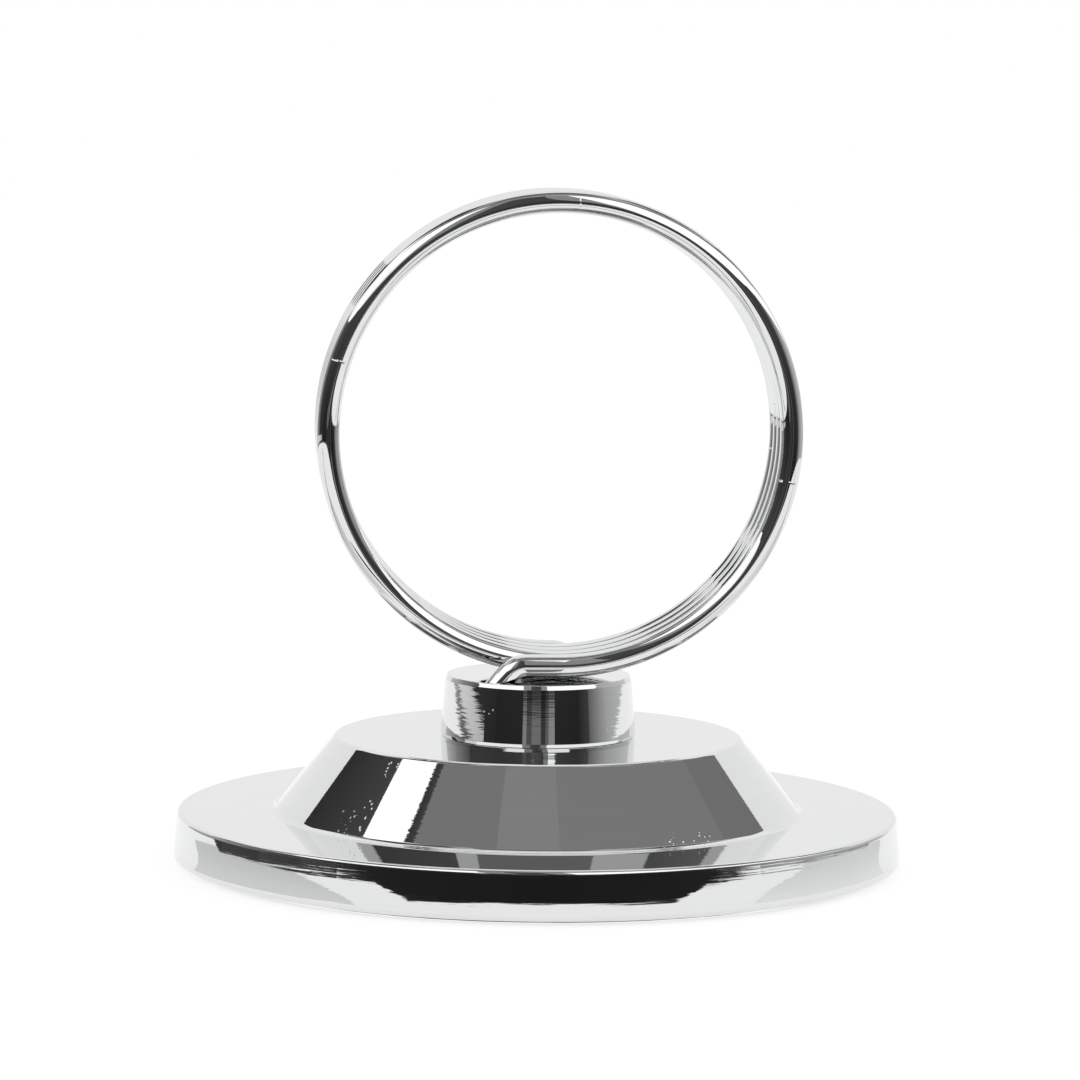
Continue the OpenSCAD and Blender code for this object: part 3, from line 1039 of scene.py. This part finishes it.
# %% [markdown]
# ## What the cone and the flange show
# The sloping face of the cone mirrors the sky high in front of it, and the flange at its foot mirrors
# the cone. One band of sky cards, tipped to the back with the slope, gives the cone its dark left end,
# its white strip and its grey panels. A second band above it reaches the flange by way of the cone,
# and gives it dark patches.

# %% Sky cards
SKY_REACH = 1000 * MM
SKY_MIDDLE = 20 * MM


def sky_card(name, bearing, low, top, shade, lean=(0, 0), tilt=0, reach=SKY_REACH, middle=SKY_MIDDLE):
    """A patch of a sphere about a point above the base.

    Bearing runs from left to right in degrees, 0 towards the front. Low and top are degrees above a
    horizon that dips to the back by the tilt. Lean moves the upper end of each side edge along the
    bearing. The shade goes evenly from its left to its right value.
    """
    left = bearing[0] + lean[0] * UP
    right = bearing[1] + lean[1] * UP
    turn = np.radians(between((left, right), ACROSS))
    rise = np.radians(between((low, top), UP))
    x = np.cos(rise) * np.sin(turn)
    y = -np.cos(rise) * np.cos(turn)
    z = np.sin(rise)
    dip = math.radians(tilt)
    tipped_y = y * math.cos(dip) + z * math.sin(dip)
    tipped_z = z * math.cos(dip) - y * math.sin(dip)
    hang_card(name, x * reach, tipped_y * reach, tipped_z * reach + middle, between(shade, ACROSS))


# %% Cards for the cone and the flange
CONE_TILT = 27
CONE_LOW = 39
CONE_RIGHT_LOW = 36
CONE_TOP = 50
for name, bearing, low, shade, lean in (
    ("cone_dark_left", (-125, -81), CONE_LOW, (0.03, 0.06), (0, 0)),
    ("cone_light_strip", (-81, -65), CONE_LOW, (1.4, 1.3), (0, 14)),
    ("cone_dark_sliver", (-65, -60), CONE_LOW, (0.03, 0.06), (14, 14)),
    ("cone_grey_left", (-60, -18), CONE_LOW, (0.2, 0.2), (14, 0)),
    ("cone_grey_middle", (-18, 7), CONE_LOW, (0.245, 0.245), (0, 0)),
    ("cone_grey_right", (7, 82), CONE_LOW, (0.215, 0.21), (0, 0)),
    ("cone_grey_far_right", (82, 110), CONE_RIGHT_LOW, (0.185, 0.18), (0, 0)),
):
    sky_card(name, bearing, low, CONE_TOP, shade, lean, tilt=CONE_TILT)
for name, bearing, low, top, shade, reach in (
    ("flange_dark_left", (-92, -40), 52, 70, (0.05, 0.07), 1000),
    ("flange_grey_middle", (-29, 26), 52, 70, (0.14, 0.14), 1000),
    ("flange_dark_right", (54, 91), 52, 70, (0.08, 0.12), 1000),
    ("flange_light", (-104, 102), 51, 72, (0.42, 0.42), 1050),
):
    sky_card(name, bearing, low, top, shade, tilt=CONE_TILT, reach=reach * MM)

# %% [markdown]
# ## What the ring and the collar show
# Wire mirrors nearly the whole room, squeezed into thin bands along it, and the collar mirrors what
# stands upright round it. Dark walls near the object give both their black sides. The gap in front
# holds narrow stripes, which are the bright and dark bars in the middle of the collar.

# %% Standing cards
STAND_REACH = 240 * MM
STAND_MIDDLE = 34 * MM
STAND_RISE = 0.045
FOOT_AND_HEAD = np.array([[0.0], [1.0]])


def wall_card(name, bearing, distance, low, top, shade, rise=0.0):
    """A round wall that stands upright about the object.

    Distance, low, top and shade are given once, or for the left and the right end. Distance and
    heights are in metres. The shade also grows by rise from the wall's foot to its top.
    """
    distance, low, top, shade = (np.broadcast_to(value, 2) for value in (distance, low, top, shade))
    turn = np.radians(between(bearing, ACROSS))
    away = between(distance, ACROSS)
    height = between((between(low, ACROSS), between(top, ACROSS)), FOOT_AND_HEAD)
    shades = between(shade, ACROSS) + rise * FOOT_AND_HEAD
    hang_card(name, away * np.sin(turn), -away * np.cos(turn), height, shades)


def stand_card(name, bearing, top, shade, low=0.0):
    """A wall at the standing cards' distance; top gives both ends in degrees above the ring's middle."""
    heights = STAND_MIDDLE + STAND_REACH * np.tan(np.radians(top))
    wall_card(name, bearing, STAND_REACH, low, heights, shade, STAND_RISE)


for name, bearing, top, shade in (
    ("stand_back_left", (-142, -118), (6, 26), (0.5, 0.28)),
    ("stand_far_left", (-118, -92), (26, 25), (0.25, 0.06)),
    ("stand_left", (-92, -55), (25, 23), (0.03, 0.02)),
    ("stand_left_slope", (-55, -22), (23, 15), (0.015, 0.015)),
    ("stand_right_slope", (15, 45), (12, 25), (0.015, 0.015)),
    ("stand_right", (45, 58), (25, 27), (0.02, 0.05)),
    ("stand_grey_right", (58, 85), (27, 25), (0.12, 0.4)),
    ("stand_grey_far_right", (85, 132), (25, 10), (0.4, 0.6)),
):
    stand_card(name, bearing, top, shade)

# %% Stripes in the gap
STRIPE_LOW = 8.5 * MM
STRIPE_TOP = 18 * MM
STRIPE_DIM = 0.25
stripe_edges = (-22, -17.6, -11.5, -1, 4.4, 8, 15)
stripe_tops = (15, 14, 13, 12, 12, 12, 12)
stripe_shades = (0.23, 0.085, 0.17, 0.046, 0.125, 0.27)
for k, shade in enumerate(stripe_shades):
    edges = stripe_edges[k : k + 2]
    dim = STRIPE_DIM * shade
    wall_card(f"stripe_foot_{k}", edges, STAND_REACH, 0, STRIPE_LOW, dim)
    wall_card(f"stripe_{k}", edges, STAND_REACH, STRIPE_LOW, STRIPE_TOP, shade)
    stand_card(f"stripe_head_{k}", edges, stripe_tops[k : k + 2], dim, low=STRIPE_TOP)

# %% Columns, soft lights and ceiling
COLLAR_LIGHT_REACH = 235 * MM
COLLAR_LIGHT_LOW = np.array([3, 4]) * MM
COLLAR_LIGHT_TOP = np.array([12, 9]) * MM
for name, bearing, low, top, shade, lean, reach in (
    ("column_dark", (-5, 4), 4, 62, (0.07, 0.06), (-15, -7), 900),
    ("column_grey", (-14, 8), 4, 62, (0.27, 0.27), (-18, 0), 950),
    ("soft_light_left", (-92, -12), 22, 62, (1.3, 1.3), (0, -20), 1200),
    ("soft_light_right", (8, 115), 3, 62, (1.3, 1.3), (0, 0), 1200),
    ("back_wall", (122, 238), 1, 28, (0.87, 0.87), (0, 0), 1300),
    ("ceiling_left", (-110, -10), 62, 90, (0.3, 0.3), (0, 0), 1100),
    ("ceiling_right", (-10, 120), 62, 90, (0.5, 0.7), (0, 0), 1100),
):
    sky_card(name, bearing, low, top, shade, lean, reach=reach * MM, middle=STAND_MIDDLE)
wall_card("collar_light", (-128, -70), COLLAR_LIGHT_REACH, COLLAR_LIGHT_LOW, COLLAR_LIGHT_TOP, (0.8, 0.5))

# %% [markdown]
# ## What the rim shows
# The rim is upright and low, so it mirrors the floor in front of it and whatever stands no higher than
# itself. Low dark walls give it the black block in its middle and the dark line that runs out to
# both sides under its edge. Towards the sides the walls come nearer, as what the rim mirrors there
# does. Two patches on the floor give its grey ends: they are painted shadow, floor darkened beside
# the base, which only reflections see. A third patch darkens the floor further out in front.

# %% Low walls
LOW_TOP = 4.5 * MM
LOW_TIP = 3.5 * MM
LOW_LEFT_SHADE = (0.06, 0.045)
LOW_RIGHT_SHADE = (0.3, 0.38)
FRONT_TOP = 5 * MM
FRONT_TIP = 4.5 * MM
FRONT_DISTANCE = np.array([58, 72]) * MM
TIP_DISTANCE = np.array([54, 58]) * MM
low_bearings = (106, 96, 85, 74, 64)
low_distances = np.array([45, 57, 77, 115, 190]) * MM
for k in range(len(low_bearings) - 1):
    far, near = low_bearings[k : k + 2]
    distance = low_distances[k : k + 2]
    low = (LOW_TIP if k == 0 else 0, 0)
    wall_card(f"low_left_{k}", (-far, -near), distance, low, LOW_TOP, LOW_LEFT_SHADE)
    wall_card(f"low_right_{k}", (near, far), distance[::-1], low[::-1], LOW_TOP, LOW_RIGHT_SHADE)
for side, tip, edge in (("left", -50, -34), ("right", 43, 28)):
    wall_card(f"low_front_{side}", (edge, 0), FRONT_DISTANCE, 0, FRONT_TOP, (0.015, 0.012))
    wall_card(f"low_tip_{side}", (tip, edge), TIP_DISTANCE, (FRONT_TIP, 0), FRONT_TOP, (0.02, 0.015))

# %% Patches on the floor
CARD_LIFT = 0.15 * MM


def floor_card(name, near, far, shade):
    """A patch just above the floor.

    Near and far each give the (distance in mm, bearing) of their left and their right end. Distances
    grow by equal ratios from near to far. The shade goes evenly from its near to its far value.
    """
    near_distance, near_bearing = (between(ends, ACROSS) for ends in np.transpose(near))
    far_distance, far_bearing = (between(ends, ACROSS) for ends in np.transpose(far))
    distance = near_distance * (far_distance / near_distance) ** UP * MM
    turn = np.radians(between((near_bearing, far_bearing), UP))
    hang_card(name, distance * np.sin(turn), -distance * np.cos(turn), CARD_LIFT, between(shade, UP))


# The two rim patches are painted shadow: grey floor beside the base, seen only in reflections. The floor
# spot is a plain darker patch further out in front.
for name, near, far, shade in (
    ("floor_spot", ((135, 2), (135, 15)), ((235, 0), (235, 12)), (0.25, 0.1)),
    ("rim_left_painted_shadow", ((30.6, -80), (36.5, -39)), ((47, -107), (100, -76)), (0.72, 0.6)),
    ("rim_right_painted_shadow", ((36.5, 39), (30.8, 76)), ((100, 76), (50, 103)), (0.85, 0.7)),
):
    floor_card(name, near, far, shade)
